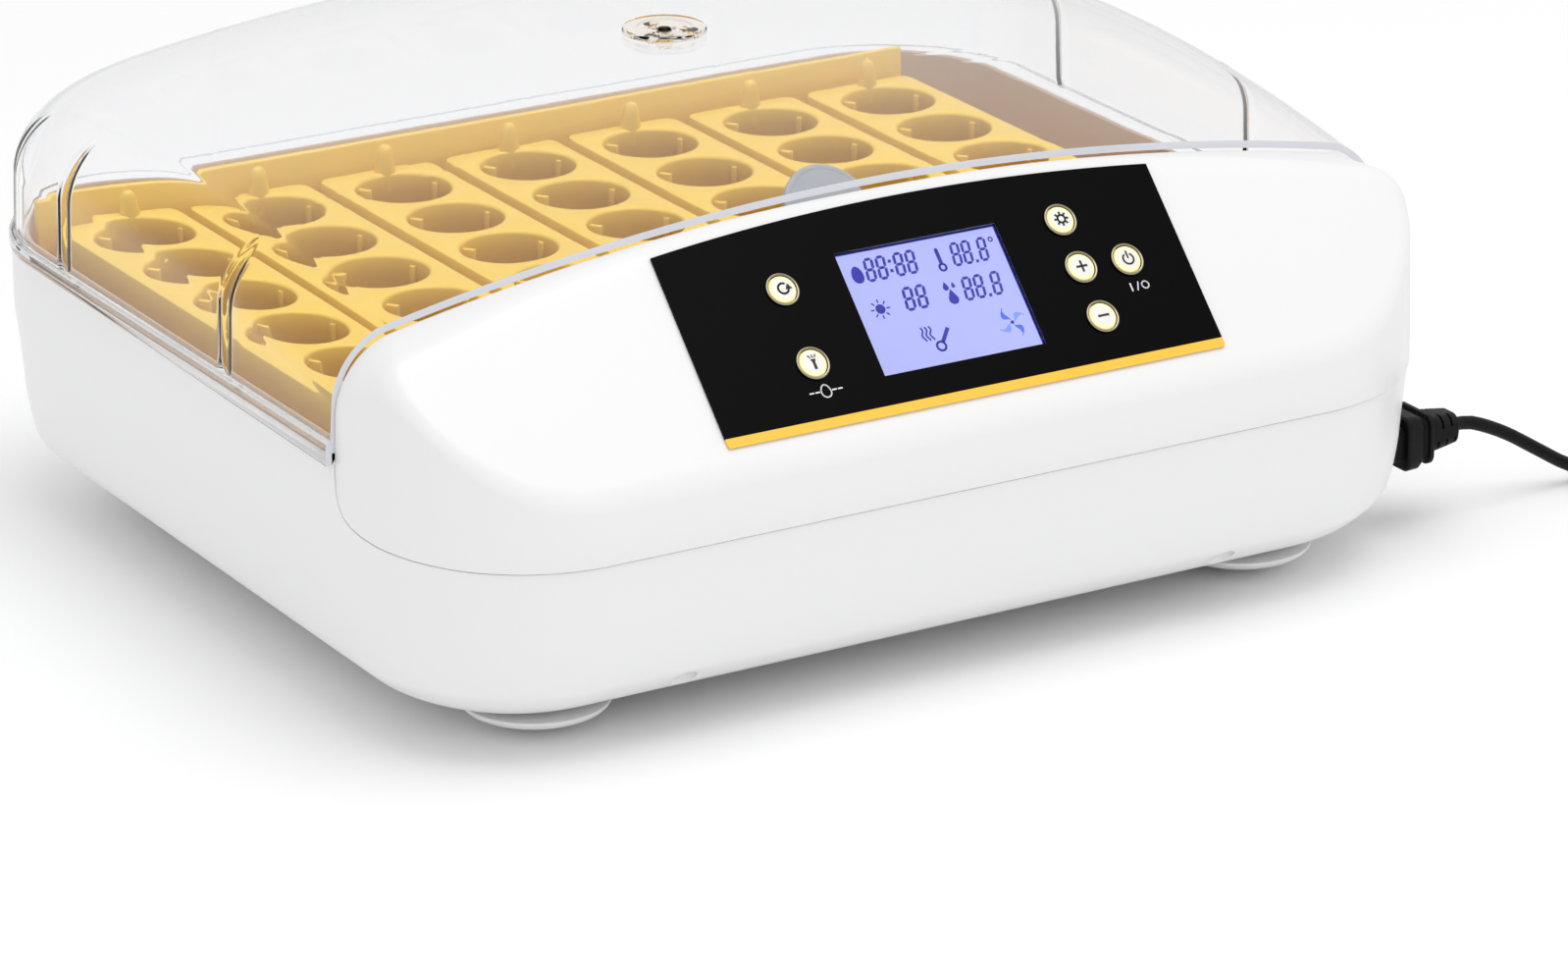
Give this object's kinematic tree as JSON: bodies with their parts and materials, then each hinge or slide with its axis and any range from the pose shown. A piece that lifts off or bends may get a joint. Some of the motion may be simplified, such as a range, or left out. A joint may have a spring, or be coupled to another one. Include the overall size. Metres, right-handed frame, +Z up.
{
  "type": "egg incubator",
  "caption": "Tabletop egg incubator: white two-part housing, clear lift-off lid, sliding yellow tray of egg cells, sloping control console with display and buttons, mains lead.",
  "frame": {"origin": "on the table, under the middle of the housing and lid (without the mains lead)", "axes": "+X along the console towards the mains inlet, +Y to the back, +Z up"},
  "size_m": [0.7206, 0.5288, 0.216],
  "materials": {
    "white_abs": "satin white housing plastic",
    "beige_liner": "smooth beige inner tub",
    "yellow_tray": "warm yellow moulded tray",
    "clear_plastic": "clear polished plastic",
    "fascia_black": "black printed overlay with a yellow stripe",
    "display_glass": "clear display window",
    "display_module": "lit lavender display with navy digits",
    "button_white": "white lit button with a pale yellow rim",
    "bezel_metal": "dark chrome ring",
    "zinc_steel": "zinc-plated steel",
    "white_nylon": "white nylon",
    "grey_rubber": "soft grey pad",
    "circuit_board": "green circuit board",
    "black_plastic": "black moulded plastic",
    "black_rubber": "black flexible mains lead and its mouldings"
  },
  "bodies": {
    "housing": {"base_shell": "white_abs", "console_cover": "white_abs", "foot_front_left": "white_abs", "foot_front_right": "white_abs", "foot_back_left": "white_abs", "foot_back_right": "white_abs", "case_screw_front_left": "zinc_steel", "case_screw_front_right": "zinc_steel", "case_screw_back_left": "zinc_steel", "case_screw_back_right": "zinc_steel", "chamber_liner": "beige_liner", "channel_wall_left": "beige_liner", "channel_wall_right": "beige_liner", "floor_grid": "yellow_tray", "turn_motor": "zinc_steel", "motor_bracket": "zinc_steel", "fascia": "fascia_black", "lcd_window": "display_glass", "lcd_module": "display_module", "control_board": "circuit_board", "bezel_reset": "bezel_metal", "bezel_candler": "bezel_metal", "bezel_set": "bezel_metal", "bezel_plus": "bezel_metal", "bezel_minus": "bezel_metal", "bezel_power": "bezel_metal", "fan_frame": "black_plastic", "heater": "zinc_steel", "sensor_probe": "zinc_steel", "candler_cup": "grey_rubber", "candler_bracket": "white_nylon", "power_board": "circuit_board", "power_inlet": "black_plastic", "plug_c13": "black_rubber", "mains_cable": "black_rubber", "cable_coil": "black_rubber", "coil_tie": "black_rubber", "plug_tail": "black_rubber", "wall_plug": "black_rubber"},
    "tray": {"tray_frame": "yellow_tray", "tray_rack": "yellow_tray", "egg_row_1": "yellow_tray", "egg_row_2": "yellow_tray", "egg_row_3": "yellow_tray", "egg_row_4": "yellow_tray", "egg_row_5": "yellow_tray", "egg_row_6": "yellow_tray", "egg_row_7": "yellow_tray"},
    "pinion": {"turn_pinion": "white_nylon"},
    "fan": {"fan_impeller": "black_plastic"},
    "lid": {"lid": "clear_plastic"},
    "vent": {"vent_cap": "clear_plastic"},
    "button_reset": {"button_reset": "button_white"},
    "button_candler": {"button_candler": "button_white"},
    "button_set": {"button_set": "button_white"},
    "button_plus": {"button_plus": "button_white"},
    "button_minus": {"button_minus": "button_white"},
    "button_power": {"button_power": "button_white"}
  },
  "joints": [
    {"name": "tray_slide", "type": "slide", "parent": "housing", "child": "tray", "axis": [1, 0, 0], "range_m": [0, 0.028]},
    {"name": "pinion_spin", "type": "hinge", "parent": "housing", "child": "pinion", "pos_m": [-0.02, -0.123, 0.07], "axis": [0, 1, 0], "range_deg": [0, 160.9]},
    {"name": "lid_lift", "type": "slide", "parent": "housing", "child": "lid", "axis": [0, 0, 1], "range_m": [0, 0.1]},
    {"name": "vent_turn", "type": "hinge", "parent": "lid", "child": "vent", "pos_m": [0, 0.0324, 0.213], "axis": [0, 0, 1], "range_deg": [0, 60]},
    {"name": "fan_spin", "type": "hinge", "parent": "housing", "child": "fan", "pos_m": [0.15, -0.157, 0.144], "axis": [0, 1, 0], "continuous": true},
    {"name": "reset_press", "type": "slide", "parent": "housing", "child": "button_reset", "axis": [0, 0.7102, -0.704], "range_m": [0, 0.0008], "stiffness_N_per_m": 600},
    {"name": "candler_press", "type": "slide", "parent": "housing", "child": "button_candler", "axis": [0, 0.7102, -0.704], "range_m": [0, 0.0008], "stiffness_N_per_m": 600},
    {"name": "set_press", "type": "slide", "parent": "housing", "child": "button_set", "axis": [0, 0.7102, -0.704], "range_m": [0, 0.0008], "stiffness_N_per_m": 600},
    {"name": "plus_press", "type": "slide", "parent": "housing", "child": "button_plus", "axis": [0, 0.7102, -0.704], "range_m": [0, 0.0008], "stiffness_N_per_m": 600},
    {"name": "minus_press", "type": "slide", "parent": "housing", "child": "button_minus", "axis": [0, 0.7102, -0.704], "range_m": [0, 0.0008], "stiffness_N_per_m": 600},
    {"name": "power_press", "type": "slide", "parent": "housing", "child": "button_power", "axis": [0, 0.7102, -0.704], "range_m": [0, 0.0008], "stiffness_N_per_m": 600}
  ],
  "couplings": [
    {"joint": "pinion_spin", "follows": "tray_slide", "rad_per_m": 100}
  ]
}
